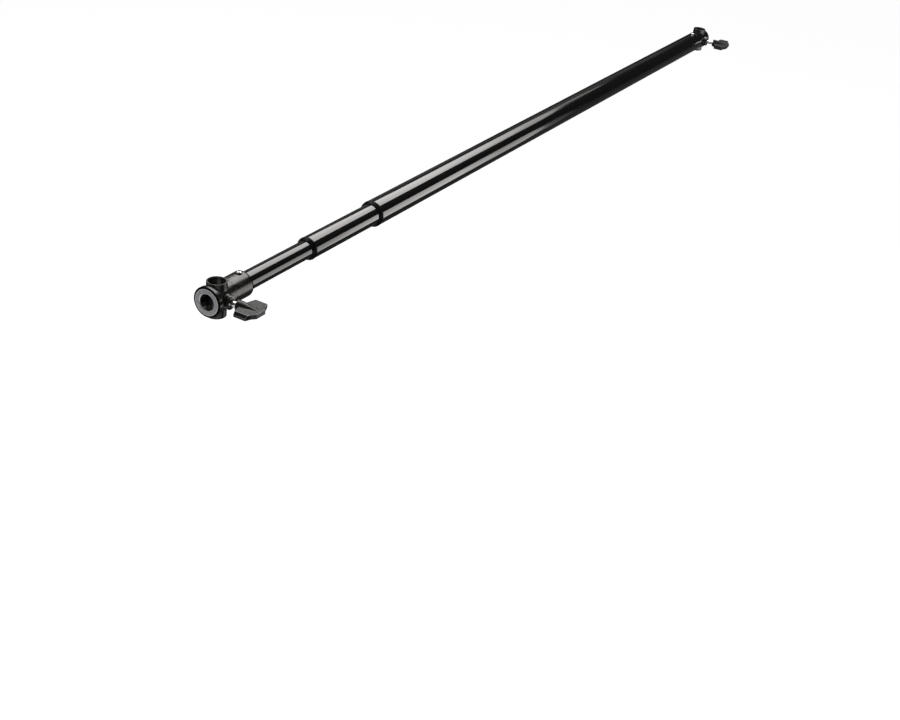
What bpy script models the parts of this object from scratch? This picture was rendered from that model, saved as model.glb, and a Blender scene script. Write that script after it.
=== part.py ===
"""Telescopic crossbar for a pair of light stands.

A black three-section tube with a die-cast socket on each end. Each socket takes a 16 mm stand
stud from below or from the end, and a wing screw clamps it. The sections slide in one another
and are held by twist locks inside them.

Metres, +Z up. The origin is where the far socket's upright bore crosses the bar's axis. The bar
runs along X, with its thin end at -X, and the wing screws point to -Y.
"""
import math
from dataclasses import dataclass

import bmesh
import bpy
from mathutils import Matrix, Vector

# Clearances
SEAT_GAP = 0.0003            # between touching pieces that don't move on each other
SLIDE_CLEARANCE = 0.0003     # round a piece that slides or turns in another
UPRIGHT_CLEARANCE = 0.0005   # round a stand's stud in its upright bore
END_CLEARANCE = 0.0004       # round a stud in the bore of the end face, a little tighter
CUT_MARGIN = 0.002           # how far a cutter runs past the wall that it cuts
WELD_DISTANCE = 0.00001      # within which points of one mesh are one point

# Tubes: each one slides in the next
INNER_TUBE_OD = 0.020
TUBE_WALL = 0.001
TELESCOPE_GAP = 0.0015       # from one tube's outside to the next tube's bore
OUTER_TUBE_LENGTH = 1.059
MID_TUBE_LENGTH = 0.992
INNER_TUBE_LENGTH = 0.961
MID_SHOWN = 0.1269           # from the outer tube's mouth to the mid tube's mouth, as set
INNER_SHOWN = 0.1127         # from the mid tube's mouth to the near casting's barrel, as set

# Collars in the two tube mouths
COLLAR_SPIGOT = 0.020        # length inside the tube
COLLAR_BAND = 0.0012         # full-width part of the lip, against the tube's mouth
COLLAR_NOSE = 0.0041         # bevelled front of the lip
COLLAR_PROUD = 0.0003        # lip radius past the tube's own
COLLAR_EDGE = 0.0004         # thickness of the lip's front edge

# Die-cast sockets
STUD_DIAMETER = 0.016
BOSS_WALL = 0.0018           # round the upright bore
FACE_WALL = 0.0048           # from the upright boss to the machined end face
SHOULDER_WALL = 0.0037       # from the upright boss to the shoulder for the outer tube
WEB_WALL = 0.0032            # between the upright boss and the tube's seat
BARREL_LENGTH = 0.026        # from the shoulder to the barrel's end
HEAD_RIM = 0.001             # head radius past the outer tube's
HEAD_WIDTH = 0.0052          # from the end face to the end of the head's full-radius band
NECK_DROP = 0.0007           # neck radius short of the outer tube's
BOSS_INSET = 0.0006           # from the end bore to where the bosses start in the wall
SHORT_BOSS_RISE = 0.0036     # upright boss above the neck, on its short side
LONG_BOSS_RISE = 0.0047
SCREW_BOSS_WALL = 0.004
SCREW_BOSS_RISE = 0.0052
RIM_ROUND_ACROSS = 0.0013    # rounding between the end face and the head's side
RIM_ROUND_ALONG = 0.0009
EDGE_CHAMFER = 0.0005        # on bore mouths, boss tops and turned ends
BARREL_ROUND = 0.0012        # rounding of the barrel's end

# Blind rivets through casting and tube
RIVET_FROM_SOCKET = 0.034    # from the upright bore's axis
RIVET_SHANK_RADIUS = 0.0016
RIVET_HEAD_RADIUS = 0.0032
RIVET_HEAD_HEIGHT = 0.0013
RIVET_TAIL_RADIUS = 0.0024
RIVET_TAIL_LENGTH = 0.0028
RIVET_CORE_RADIUS = 0.0009
RIVET_CORE_DEPTH = 0.0006

# Wing screws
SCREW_DIAMETER = 0.006
NEAR_KNOB_GAP = 0.0065       # from the screw boss to the knob's hub, as set
FAR_KNOB_GAP = 0.0098
NEAR_KNOB_TURN = 0.0         # of the wing about its screw, in degrees
FAR_KNOB_TURN = -14.0
SCREW_IN_KNOB = 0.012
DOG_RADIUS = 0.0014          # of the reduced point that the pad turns on
DOG_LENGTH = 0.002
PAD_SHY = 0.0004             # pad radius short of the screw's
PAD_LENGTH = 0.0036
PAD_TO_STUD = 0.0001         # from the near pad, as set, to a clamped stud
KNOB_HUB_RADIUS = 0.006
KNOB_HUB_LENGTH = 0.0048
KNOB_RIDGE_LENGTH = 0.0185   # of the tapered ridge past the hub
KNOB_RIDGE_RADIUS = 0.0023   # at its thin end
WING_HALF_SPAN = 0.018
WING_HALF_THICKNESS = 0.0026
WING_INNER_CORNER = 0.0076   # from the hub's face to the lobe's near corner
WING_OUTER_CORNER = 0.0222
WING_NOSE = 0.0273
WING_NOSE_HALF_WIDTH = 0.0055
WING_SHOULDER_HALF_WIDTH = 0.009
WING_TAPER = 0.0006          # by which a lobe narrows towards the nose
WING_CHAMFER = 0.0017

# Twist locks
MID_STUD_DIAMETER = 0.008
INNER_STUD_DIAMETER = 0.006
PLUG_DEPTH = 0.018           # of the plug inside its tube
PLUG_FLANGE = 0.003
SLEEVE_LENGTH = 0.026
SLEEVE_NECK = 0.010          # plain part of the sleeve before its taper
SLEEVE_MOUTH_WALL = 0.0024
SLEEVE_SLOT = 0.0022
CONE_PROUD = 0.003           # cone past the sleeve's end when locked
CONE_TIP_WALL = 0.0026       # cone's thin end past its stud
KEY_SHORT = 0.0012           # key short of the sleeve's outside
KEY_LENGTH = 0.012
UNLOCK_ROOM = 0.0015         # from the locked cone to the clip
CLIP_THICKNESS = 0.001
CLIP_RIM = 0.0032            # clip radius past the stud's
GROOVE_DEPTH = 0.0008
STUD_TAIL = 0.0016           # stud past the clip's groove

# Steps of the round pieces
TUBE_STEPS = 40
CAST_STEPS = 36
SMALL_STEPS = 16
ARC_STEPS = 3

# Sizes and places that follow
MID_TUBE_OD = INNER_TUBE_OD + 2 * (TELESCOPE_GAP + TUBE_WALL)
OUTER_TUBE_OD = MID_TUBE_OD + 2 * (TELESCOPE_GAP + TUBE_WALL)
UPRIGHT_RADIUS = STUD_DIAMETER / 2 + UPRIGHT_CLEARANCE
END_RADIUS = STUD_DIAMETER / 2 + END_CLEARANCE
BOSS_RADIUS = UPRIGHT_RADIUS + BOSS_WALL
BOSS_FOOT = END_RADIUS + BOSS_INSET
FACE_X = BOSS_RADIUS + FACE_WALL
SHOULDER_X = BOSS_RADIUS + SHOULDER_WALL
TUBE_SEAT_X = BOSS_RADIUS + WEB_WALL
BARREL_END_X = SHOULDER_X + BARREL_LENGTH
BARREL_RADIUS = OUTER_TUBE_OD / 2 - TUBE_WALL - SEAT_GAP
BARREL_BORE_RADIUS = INNER_TUBE_OD / 2 + SEAT_GAP
NECK_RADIUS = OUTER_TUBE_OD / 2 - NECK_DROP
HEAD_RADIUS = OUTER_TUBE_OD / 2 + HEAD_RIM
SHORT_BOSS_Z = NECK_RADIUS + SHORT_BOSS_RISE
LONG_BOSS_Z = NECK_RADIUS + LONG_BOSS_RISE
SCREW_RADIUS = SCREW_DIAMETER / 2
SCREW_HOLE_RADIUS = SCREW_RADIUS + SLIDE_CLEARANCE
SCREW_BOSS_RADIUS = SCREW_HOLE_RADIUS + SCREW_BOSS_WALL
SCREW_BOSS_Y = NECK_RADIUS + SCREW_BOSS_RISE
SCREW_REACH = SCREW_BOSS_Y + NEAR_KNOB_GAP - STUD_DIAMETER / 2 - PAD_TO_STUD

FAR_SOCKET_X = 0.0
OUTER_TUBE_END_X = FAR_SOCKET_X - SHOULDER_X - SEAT_GAP
OUTER_MOUTH_X = OUTER_TUBE_END_X - OUTER_TUBE_LENGTH
MID_MOUTH_X = OUTER_MOUTH_X - MID_SHOWN
MID_TUBE_END_X = MID_MOUTH_X + MID_TUBE_LENGTH
NEAR_SOCKET_X = MID_MOUTH_X - INNER_SHOWN - BARREL_END_X
INNER_MOUTH_X = NEAR_SOCKET_X + TUBE_SEAT_X + SEAT_GAP
INNER_TUBE_END_X = INNER_MOUTH_X + INNER_TUBE_LENGTH

# Ways that a turned piece's heights can run
TO_PLUS_X = Matrix.Rotation(math.radians(90), 4, "Y")
TO_MINUS_X = Matrix.Rotation(math.radians(-90), 4, "Y")
TO_MINUS_Y = Matrix.Rotation(math.radians(90), 4, "X")
TO_PLUS_Z = Matrix.Identity(4)
TO_MINUS_Z = Matrix.Rotation(math.radians(180), 4, "X")

# Finishes: colour, roughness, metallic
FINISHES = {
    "tube_black": ((0.010, 0.010, 0.011), 0.22, 0.0),
    "cast_black": ((0.014, 0.014, 0.015), 0.36, 0.0),
    "collar_black": ((0.006, 0.006, 0.007), 0.45, 0.0),
    "knob_grey": ((0.055, 0.057, 0.060), 0.42, 0.0),
    "bright_steel": ((0.72, 0.72, 0.74), 0.20, 1.0),
    "rivet_alloy": ((0.80, 0.80, 0.81), 0.24, 1.0),
    "brass": ((0.78, 0.60, 0.28), 0.30, 1.0),
    "plain_alloy": ((0.62, 0.62, 0.64), 0.38, 1.0),
    "pale_nylon": ((0.70, 0.69, 0.64), 0.50, 0.0),
}


def clear_scene():
    """Remove what the scene holds, so that the model starts from nothing."""
    for obj in list(bpy.data.objects):
        bpy.data.objects.remove(obj, do_unlink=True)


def new_collection(name):
    """Return a new collection that is linked to the scene."""
    collection = bpy.data.collections.new(name)
    bpy.context.scene.collection.children.link(collection)
    return collection


def dress(obj, finish_name):
    """Give a piece its own material in one of the finishes."""
    colour, roughness, metallic = FINISHES[finish_name]
    material = bpy.data.materials.new(f"{obj.name}_{finish_name}")
    material.use_nodes = True
    shader = material.node_tree.nodes["Principled BSDF"]
    shader.inputs["Base Color"].default_value = (*colour, 1.0)
    shader.inputs["Roughness"].default_value = roughness
    shader.inputs["Metallic"].default_value = metallic
    material.diffuse_color = (*colour, 1.0)
    obj.data.materials.append(material)


def hang(obj, carrier):
    """Parent a piece to its carrier and leave it where it is."""
    bpy.context.view_layer.update()
    obj.parent = carrier
    obj.matrix_parent_inverse = carrier.matrix_world.inverted()


@dataclass
class Shop:
    """The collections that the pieces and their cutters go in."""

    parts: bpy.types.Collection
    cutters: bpy.types.Collection

    def piece(self, obj, finish_name):
        """Link a piece to the parts, dressed in a finish."""
        self.parts.objects.link(obj)
        dress(obj, finish_name)
        return obj

    def carrier(self, name, place, parent=None):
        """Return an empty on a joint's axis, which carries the pieces that move there."""
        empty = bpy.data.objects.new(name, None)
        empty.empty_display_size = 0.02
        empty.location = place
        self.parts.objects.link(empty)
        if parent:
            hang(empty, parent)
        return empty

    def boolean(self, obj, other, operation):
        """Cut a piece with another shape, or join the two. The shape follows the piece."""
        self.cutters.objects.link(other)
        other.hide_render = True
        other.display_type = "WIRE"
        hang(other, obj)
        modifier = obj.modifiers.new(other.name, "BOOLEAN")
        modifier.operation = operation
        modifier.solver = "EXACT"
        modifier.object = other


def arc(centre, size, start, end):
    """Points of an elliptical arc in a profile, as (radius, height), angles in degrees."""
    points = []
    for step in range(ARC_STEPS + 1):
        angle = math.radians(start + (end - start) * step / ARC_STEPS)
        points.append((centre[0] + size[0] * math.cos(angle),
                       centre[1] + size[1] * math.sin(angle)))
    return points


def turned(name, profile, place, direction, steps=TUBE_STEPS, ring=False, twist=0.5):
    """Return a turned piece from (radius, height) points that run down its outer side.

    A ring's profile is a closed loop. Any other starts and ends on the axis. The twist turns the
    piece on its own axis by a part of one step. Two pieces that cross have different ones, so that
    no edge of theirs meets another.
    """
    mesh = bpy.data.meshes.new(name)
    shape = bmesh.new()
    verts = [shape.verts.new((radius, 0.0, height)) for radius, height in profile]
    for one, two in zip(verts, verts[1:]):
        shape.edges.new((one, two))
    if ring:
        shape.edges.new((verts[-1], verts[0]))
    shape.to_mesh(mesh)
    shape.free()
    obj = bpy.data.objects.new(name, mesh)
    start = Matrix.Rotation(twist * 2 * math.pi / steps, 4, "Z")
    obj.matrix_world = Matrix.Translation(place) @ direction @ start
    screw = obj.modifiers.new("Turn", "SCREW")
    screw.axis = "Z"
    screw.angle = math.radians(360)
    screw.steps = steps
    screw.render_steps = steps
    screw.use_merge_vertices = True
    screw.merge_threshold = WELD_DISTANCE
    return obj


def ring_profile(outer, inner, low, high):
    """Profile of a plain ring between two heights."""
    return [(outer, high), (outer, low), (inner, low), (inner, high)]


def cylinder(name, radius, low, high, place, direction, twist=0.5):
    """Return a plain cylinder between two heights along its direction."""
    mesh = bpy.data.meshes.new(name)
    shape = bmesh.new()
    middle = Matrix.Translation((0, 0, (low + high) / 2))
    bmesh.ops.create_cone(shape, cap_ends=True, segments=SMALL_STEPS, radius1=radius,
                          radius2=radius, depth=high - low, matrix=middle)
    shape.to_mesh(mesh)
    shape.free()
    obj = bpy.data.objects.new(name, mesh)
    start = Matrix.Rotation(twist * 2 * math.pi / SMALL_STEPS, 4, "Z")
    obj.matrix_world = Matrix.Translation(place) @ direction @ start
    return obj


def box(name, low, high):
    """Return a box between two corners."""
    mesh = bpy.data.meshes.new(name)
    shape = bmesh.new()
    bmesh.ops.create_cube(shape, size=1.0)
    bmesh.ops.scale(shape, vec=Vector(high) - Vector(low), verts=shape.verts)
    shape.to_mesh(mesh)
    shape.free()
    obj = bpy.data.objects.new(name, mesh)
    obj.location = (Vector(low) + Vector(high)) / 2
    return obj


def plate(name, outline, half_thickness):
    """Return a flat plate with the outline in its XY plane."""
    curve = bpy.data.curves.new(name, "CURVE")
    curve.dimensions = "2D"
    curve.fill_mode = "BOTH"
    curve.extrude = half_thickness
    spline = curve.splines.new("POLY")
    spline.points.add(len(outline) - 1)
    for point, (x, y) in zip(spline.points, outline):
        point.co = (x, y, 0.0, 1.0)
    spline.use_cyclic_u = True
    flat = bpy.data.objects.new(name, curve)
    bpy.context.scene.collection.objects.link(flat)
    bpy.context.view_layer.update()
    evaluated = flat.evaluated_get(bpy.context.evaluated_depsgraph_get())
    mesh = bpy.data.meshes.new_from_object(evaluated)
    bpy.data.objects.remove(flat, do_unlink=True)
    shape = bmesh.new()
    shape.from_mesh(mesh)
    bmesh.ops.remove_doubles(shape, verts=shape.verts, dist=WELD_DISTANCE)
    bmesh.ops.dissolve_limit(shape, angle_limit=math.radians(1), verts=shape.verts,
                             edges=shape.edges)
    bmesh.ops.recalc_face_normals(shape, faces=shape.faces)
    shape.to_mesh(mesh)
    shape.free()
    return bpy.data.objects.new(name, mesh)


def tube(shop, name, outside, low, high):
    """Make one straight tube along X."""
    profile = ring_profile(outside / 2, outside / 2 - TUBE_WALL, low, high)
    return shop.piece(turned(name, profile, (0, 0, 0), TO_PLUS_X, ring=True), "tube_black")


def collar(shop, name, tube_outside, sliding_outside, mouth_x):
    """Make the plastic ring in a tube's mouth, which guides the thinner tube."""
    bore = sliding_outside / 2 + SLIDE_CLEARANCE
    lip = tube_outside / 2 + COLLAR_PROUD
    spigot = tube_outside / 2 - TUBE_WALL - SEAT_GAP
    band_end = SEAT_GAP + COLLAR_BAND
    nose_end = band_end + COLLAR_NOSE
    # Heights run to -X, out of the tube
    profile = [(bore, nose_end), (bore + COLLAR_EDGE, nose_end), (lip, band_end), (lip, SEAT_GAP),
               (spigot, SEAT_GAP), (spigot, -COLLAR_SPIGOT), (bore, -COLLAR_SPIGOT)]
    piece = turned(name, profile, (mouth_x, 0, 0), TO_MINUS_X, ring=True)
    return shop.piece(piece, "collar_black")


def casting_profile():
    """Profile of a socket casting without its bosses.

    It starts on the floor of the end face's bore, goes round the outside to the barrel's end, and
    stops on the floor of the barrel's bore.
    """
    band_end = FACE_X - HEAD_WIDTH
    step = HEAD_RADIUS - NECK_RADIUS
    rim = (HEAD_RADIUS - RIM_ROUND_ACROSS, FACE_X - RIM_ROUND_ALONG)
    foot = (BARREL_RADIUS - BARREL_ROUND, -BARREL_END_X + BARREL_ROUND)
    profile = [(0.0, 0.0), (END_RADIUS, 0.0), (END_RADIUS, FACE_X - EDGE_CHAMFER),
               (END_RADIUS + EDGE_CHAMFER, FACE_X)]
    profile += arc(rim, (RIM_ROUND_ACROSS, RIM_ROUND_ALONG), 90, 0)
    profile += arc((HEAD_RADIUS, band_end - step), (step, step), 90, 180)
    profile += [(NECK_RADIUS, -SHOULDER_X), (BARREL_RADIUS, -SHOULDER_X)]
    profile += arc(foot, (BARREL_ROUND, BARREL_ROUND), 0, -90)
    profile += [(BARREL_BORE_RADIUS, -BARREL_END_X), (BARREL_BORE_RADIUS, -TUBE_SEAT_X),
                (0.0, -TUBE_SEAT_X)]
    return profile


def boss_profile(radius, reach):
    """Profile of a boss from its chamfered top down to its foot in the casting's wall."""
    return [(0.0, reach), (radius - EDGE_CHAMFER, reach), (radius, reach - EDGE_CHAMFER),
            (radius, BOSS_FOOT), (0.0, BOSS_FOOT)]


def mouth_points(radius, high):
    """Points of a bore cutter's chamfered mouth, from past the wall down to the bore."""
    flare = radius + EDGE_CHAMFER + CUT_MARGIN
    return [(flare, high + CUT_MARGIN), (radius, high - EDGE_CHAMFER)]


def through_bore(radius, low, high):
    """Profile of the cutter of a bore that is open at both heights."""
    upper = mouth_points(radius, high)
    lower = [(r, -height) for r, height in reversed(mouth_points(radius, -low))]
    return [(0.0, high + CUT_MARGIN)] + upper + lower + [(0.0, low - CUT_MARGIN)]


def screw_hole():
    """Profile of the cutter of the clamp screw's hole, which opens into the upright bore."""
    upper = mouth_points(SCREW_HOLE_RADIUS, SCREW_BOSS_Y)
    return [(0.0, SCREW_BOSS_Y + CUT_MARGIN)] + upper + [(SCREW_HOLE_RADIUS, 0.0), (0.0, 0.0)]


def socket_casting(shop, name, socket_x, face_side):
    """Make a die-cast socket. face_side is the side of X that its machined end face is on.

    Both ends use one casting. The far one is turned over, so its long boss is up.
    """
    face_way = TO_PLUS_X if face_side > 0 else TO_MINUS_X
    top, bottom = (LONG_BOSS_Z, SHORT_BOSS_Z) if face_side > 0 else (SHORT_BOSS_Z, LONG_BOSS_Z)
    place = (socket_x, 0, 0)
    body = shop.piece(turned(name, casting_profile(), place, face_way, CAST_STEPS), "cast_black")
    upright_bore = through_bore(UPRIGHT_RADIUS, -bottom, top)
    screw_boss = boss_profile(SCREW_BOSS_RADIUS, SCREW_BOSS_Y)
    changes = [
        ("UNION", "boss_up", boss_profile(BOSS_RADIUS, top), TO_PLUS_Z, CAST_STEPS, 0.0),
        ("UNION", "boss_down", boss_profile(BOSS_RADIUS, bottom), TO_MINUS_Z, CAST_STEPS, 0.0),
        ("UNION", "boss_screw", screw_boss, TO_MINUS_Y, CAST_STEPS, 0.0),
        ("DIFFERENCE", "upright_bore", upright_bore, TO_PLUS_Z, CAST_STEPS, 0.25),
        ("DIFFERENCE", "screw_hole", screw_hole(), TO_MINUS_Y, SMALL_STEPS, 0.5),
    ]
    for operation, part, profile, way, steps, twist in changes:
        other = turned(f"{name}_{part}", profile, place, way, steps, twist=twist)
        shop.boolean(body, other, operation)
    rivet_x = socket_x - face_side * RIVET_FROM_SOCKET
    shop.boolean(body, rivet_hole(f"{name}_rivet_hole", rivet_x, BARREL_RADIUS), "DIFFERENCE")
    return body


def rivet_hole(name, rivet_x, outside_radius):
    """Return the cutter for one pair of rivet holes, which runs right through."""
    reach = outside_radius + CUT_MARGIN
    radius = RIVET_SHANK_RADIUS + SEAT_GAP
    return cylinder(name, radius, -reach, reach, (rivet_x, 0, 0), TO_PLUS_Z)


def rivet_pair(shop, end, rivet_x, seat_radius, bore_radius):
    """Make the two blind rivets at one end, each from its domed head to its bulged tail."""
    base = seat_radius + SEAT_GAP
    top = base + RIVET_HEAD_HEIGHT
    tail_top = bore_radius - SEAT_GAP
    tail_end = tail_top - RIVET_TAIL_LENGTH
    dome = (RIVET_HEAD_RADIUS - RIVET_CORE_RADIUS, RIVET_HEAD_HEIGHT)
    profile = [(0.0, top - RIVET_CORE_DEPTH), (RIVET_CORE_RADIUS, top - RIVET_CORE_DEPTH)]
    profile += arc((RIVET_CORE_RADIUS, base), dome, 90, 0)
    profile += [(RIVET_SHANK_RADIUS, base), (RIVET_SHANK_RADIUS, tail_top),
                (RIVET_TAIL_RADIUS, (tail_top + tail_end) / 2), (RIVET_SHANK_RADIUS, tail_end),
                (0.0, tail_end)]
    pieces = []
    for side, way in (("top", TO_PLUS_Z), ("bottom", TO_MINUS_Z)):
        piece = turned(f"{end}_rivet_{side}", profile, (rivet_x, 0, 0), way, SMALL_STEPS)
        pieces.append(shop.piece(piece, "rivet_alloy"))
    return pieces


def wing_outline():
    """Outline of the wing in its own plane, with its hub's face at zero and its nose at -Y."""
    shoulder = WING_OUTER_CORNER + (WING_NOSE - WING_OUTER_CORNER) / 4
    half = [
        (KNOB_HUB_RADIUS - WING_CHAMFER / 2, KNOB_HUB_LENGTH / 2),
        (KNOB_HUB_RADIUS, KNOB_HUB_LENGTH),
        ((KNOB_HUB_RADIUS + WING_HALF_SPAN) / 2, (KNOB_HUB_LENGTH + WING_INNER_CORNER) / 2),
        (WING_HALF_SPAN, WING_INNER_CORNER),
        (WING_HALF_SPAN - WING_TAPER, WING_OUTER_CORNER),
        (WING_SHOULDER_HALF_WIDTH, shoulder),
        ((WING_NOSE_HALF_WIDTH + WING_SHOULDER_HALF_WIDTH) / 2, (shoulder + WING_NOSE) / 2),
        (WING_NOSE_HALF_WIDTH, WING_NOSE),
    ]
    return [(x, -out) for x, out in half] + [(-x, -out) for x, out in reversed(half)]


def wing_knob(shop, name, place, turn_degrees):
    """Make the moulded wing knob of a clamp screw. Its hub's face is at the place."""
    body = plate(name, wing_outline(), WING_HALF_THICKNESS)
    body.matrix_world = (Matrix.Translation(place)
                         @ Matrix.Rotation(math.radians(turn_degrees), 4, "Y"))
    shop.piece(body, "knob_grey")
    bevel = body.modifiers.new("Rim chamfer", "BEVEL")
    bevel.width = WING_CHAMFER
    bevel.segments = 1
    bevel.limit_method = "ANGLE"
    bevel.angle_limit = math.radians(80)
    end = KNOB_HUB_LENGTH + KNOB_RIDGE_LENGTH
    ridge = [(0.0, end), (KNOB_RIDGE_RADIUS, end), (KNOB_HUB_RADIUS, KNOB_HUB_LENGTH),
             (KNOB_HUB_RADIUS, EDGE_CHAMFER), (KNOB_HUB_RADIUS - EDGE_CHAMFER, 0.0), (0.0, 0.0)]
    hub = turned(f"{name}_ridge", ridge, place, TO_MINUS_Y, SMALL_STEPS)
    shop.boolean(body, hub, "UNION")
    hole = cylinder(f"{name}_hole", SCREW_RADIUS + SEAT_GAP, -CUT_MARGIN,
                    SCREW_IN_KNOB + SEAT_GAP, place, TO_MINUS_Y, twist=0.0)
    shop.boolean(body, hole, "DIFFERENCE")
    return body


def clamp_screw(shop, name, place):
    """Make the threaded rod of a wing screw, with the dog point that its pad turns on."""
    shoulder = -SCREW_REACH + PAD_LENGTH + SEAT_GAP
    neck = SCREW_RADIUS - EDGE_CHAMFER
    profile = [(0.0, SCREW_IN_KNOB), (neck, SCREW_IN_KNOB),
               (SCREW_RADIUS, SCREW_IN_KNOB - EDGE_CHAMFER), (SCREW_RADIUS, shoulder + EDGE_CHAMFER),
               (neck, shoulder), (DOG_RADIUS, shoulder), (DOG_RADIUS, shoulder - DOG_LENGTH),
               (0.0, shoulder - DOG_LENGTH)]
    return shop.piece(turned(name, profile, place, TO_MINUS_Y, SMALL_STEPS), "bright_steel")


def pressure_pad(shop, name, place):
    """Make the brass pad that presses on the stud and doesn't turn with its screw."""
    outside = SCREW_RADIUS - PAD_SHY
    pocket = DOG_RADIUS + SLIDE_CLEARANCE
    front = -SCREW_REACH
    back = front + PAD_LENGTH
    profile = [(0.0, back - DOG_LENGTH), (pocket, back - DOG_LENGTH), (pocket, back),
               (outside, back), (outside, front + EDGE_CHAMFER), (outside - EDGE_CHAMFER, front),
               (0.0, front)]
    return shop.piece(turned(name, profile, place, TO_MINUS_Y, SMALL_STEPS), "brass")


def wing_screw(shop, carrier, end, socket_x, knob_gap, turn_degrees):
    """Make one end's pressure pad, clamp screw and knob."""
    place = (socket_x, -SCREW_BOSS_Y - knob_gap, 0)
    pad_axis = shop.carrier(f"{end}_pad_axis", place, carrier)
    hang(pressure_pad(shop, f"{end}_pressure_pad", place), pad_axis)
    screw_axis = shop.carrier(f"{end}_screw_axis", place, pad_axis)
    hang(clamp_screw(shop, f"{end}_clamp_screw", place), screw_axis)
    hang(wing_knob(shop, f"{end}_wing_knob", place, turn_degrees), screw_axis)


@dataclass
class TwistLock:
    """A lock on the inner end of a sliding tube, which grips the bore that the tube slides in.

    The plug, its stud and the clip turn with the tube. The split sleeve doesn't, and the cone,
    keyed to the sleeve, runs along the stud's thread and spreads it. Heights run to +X from the
    tube's end.
    """

    shop: Shop
    name: str
    tube_outside: float
    grip_bore_radius: float
    stud_radius: float
    end_x: float

    def __post_init__(self):
        """Work out where each piece lies along the stud, and the radii that they share."""
        self.flange_end = SEAT_GAP + PLUG_FLANGE
        self.sleeve_start = self.flange_end + SEAT_GAP
        self.taper_start = self.sleeve_start + SLEEVE_NECK
        self.sleeve_end = self.sleeve_start + SLEEVE_LENGTH
        self.cone_end = self.sleeve_end + CONE_PROUD
        self.clip_start = self.cone_end + UNLOCK_ROOM
        self.clip_end = self.clip_start + CLIP_THICKNESS
        self.stud_end = self.clip_end + SEAT_GAP + STUD_TAIL
        self.stud_bore = self.stud_radius + SLIDE_CLEARANCE
        self.sleeve_outside = self.grip_bore_radius - SEAT_GAP
        self.cone_small = self.stud_radius + CONE_TIP_WALL
        self.cone_large = self.sleeve_outside - SLEEVE_MOUTH_WALL - SEAT_GAP

    def piece(self, part, profile, finish_name, steps=TUBE_STEPS, ring=True):
        """Make one turned piece of the lock."""
        obj = turned(f"{self.name}_{part}", profile, (self.end_x, 0, 0), TO_PLUS_X, steps, ring)
        return self.shop.piece(obj, finish_name)

    def plug(self):
        """Make the plug that is fixed in the tube's end."""
        outside = self.tube_outside / 2
        inside = outside - TUBE_WALL - SEAT_GAP
        profile = [(outside, self.flange_end), (outside, SEAT_GAP), (inside, SEAT_GAP),
                   (inside, -PLUG_DEPTH), (self.stud_bore, -PLUG_DEPTH),
                   (self.stud_bore, self.flange_end)]
        return self.piece("plug", profile, "plain_alloy")

    def stud(self):
        """Make the threaded stud, with the groove for its clip."""
        radius = self.stud_radius
        groove = radius - GROOVE_DEPTH
        groove_start = self.clip_start - SEAT_GAP
        groove_end = self.clip_end + SEAT_GAP
        profile = [(0.0, self.stud_end), (radius - EDGE_CHAMFER, self.stud_end),
                   (radius, self.stud_end - EDGE_CHAMFER), (radius, groove_end),
                   (groove, groove_end), (groove, groove_start), (radius, groove_start),
                   (radius, -PLUG_DEPTH), (0.0, -PLUG_DEPTH)]
        return self.piece("stud", profile, "bright_steel", SMALL_STEPS, ring=False)

    def clip(self):
        """Make the retaining clip in the stud's groove."""
        inside = self.stud_radius - GROOVE_DEPTH + SEAT_GAP
        profile = ring_profile(self.stud_radius + CLIP_RIM, inside, self.clip_start, self.clip_end)
        return self.piece("clip", profile, "bright_steel", SMALL_STEPS)

    def sleeve(self):
        """Make the split sleeve, plain at its neck and tapered inside at its mouth."""
        profile = [(self.sleeve_outside, self.sleeve_end), (self.sleeve_outside, self.sleeve_start),
                   (self.stud_bore, self.sleeve_start), (self.stud_bore, self.taper_start),
                   (self.cone_small + SEAT_GAP, self.taper_start),
                   (self.cone_large + SEAT_GAP, self.sleeve_end)]
        body = self.piece("sleeve", profile, "pale_nylon")
        low = (self.end_x + self.sleeve_start - CUT_MARGIN, -SLEEVE_SLOT / 2, 0)
        high = (self.end_x + self.sleeve_end + CUT_MARGIN, SLEEVE_SLOT / 2,
                self.sleeve_outside + CUT_MARGIN)
        self.shop.boolean(body, box(f"{self.name}_sleeve_slot", low, high), "DIFFERENCE")
        return body

    def cone(self):
        """Make the cone nut, with the key that keeps it from turning in the sleeve."""
        small_start = self.taper_start + SEAT_GAP
        profile = [(self.cone_large, self.cone_end), (self.cone_large, self.sleeve_end),
                   (self.cone_small, small_start), (self.stud_bore, small_start),
                   (self.stud_bore, self.cone_end)]
        body = self.piece("cone", profile, "brass")
        half = SLEEVE_SLOT / 2 - SLIDE_CLEARANCE
        foot = (self.stud_bore + self.cone_small) / 2
        low = (self.end_x + self.cone_end - KEY_LENGTH, -half, foot)
        high = (self.end_x + self.cone_end - EDGE_CHAMFER, half, self.sleeve_outside - KEY_SHORT)
        self.shop.boolean(body, box(f"{self.name}_cone_key", low, high), "UNION")
        return body


def sliding_section(shop, carrier, section, lock):
    """Make a sliding section's lock. Return the carrier of the pieces that turn with its tube."""
    slide_axis = shop.carrier(f"{section}_slide_axis", (lock.end_x, 0, 0), carrier)
    for piece in (lock.sleeve(), lock.cone()):
        hang(piece, slide_axis)
    twist_axis = shop.carrier(f"{section}_twist_axis", (lock.end_x, 0, 0), slide_axis)
    for piece in (lock.plug(), lock.stud(), lock.clip()):
        hang(piece, twist_axis)
    return twist_axis


def shade_smooth(shop):
    """Shade every piece smooth, with its flats kept flat by their area."""
    for obj in shop.parts.objects:
        if obj.type != "MESH":
            continue
        obj.data.shade_smooth()
        obj.modifiers.new("Even shading", "WEIGHTED_NORMAL").keep_sharp = True


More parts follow.
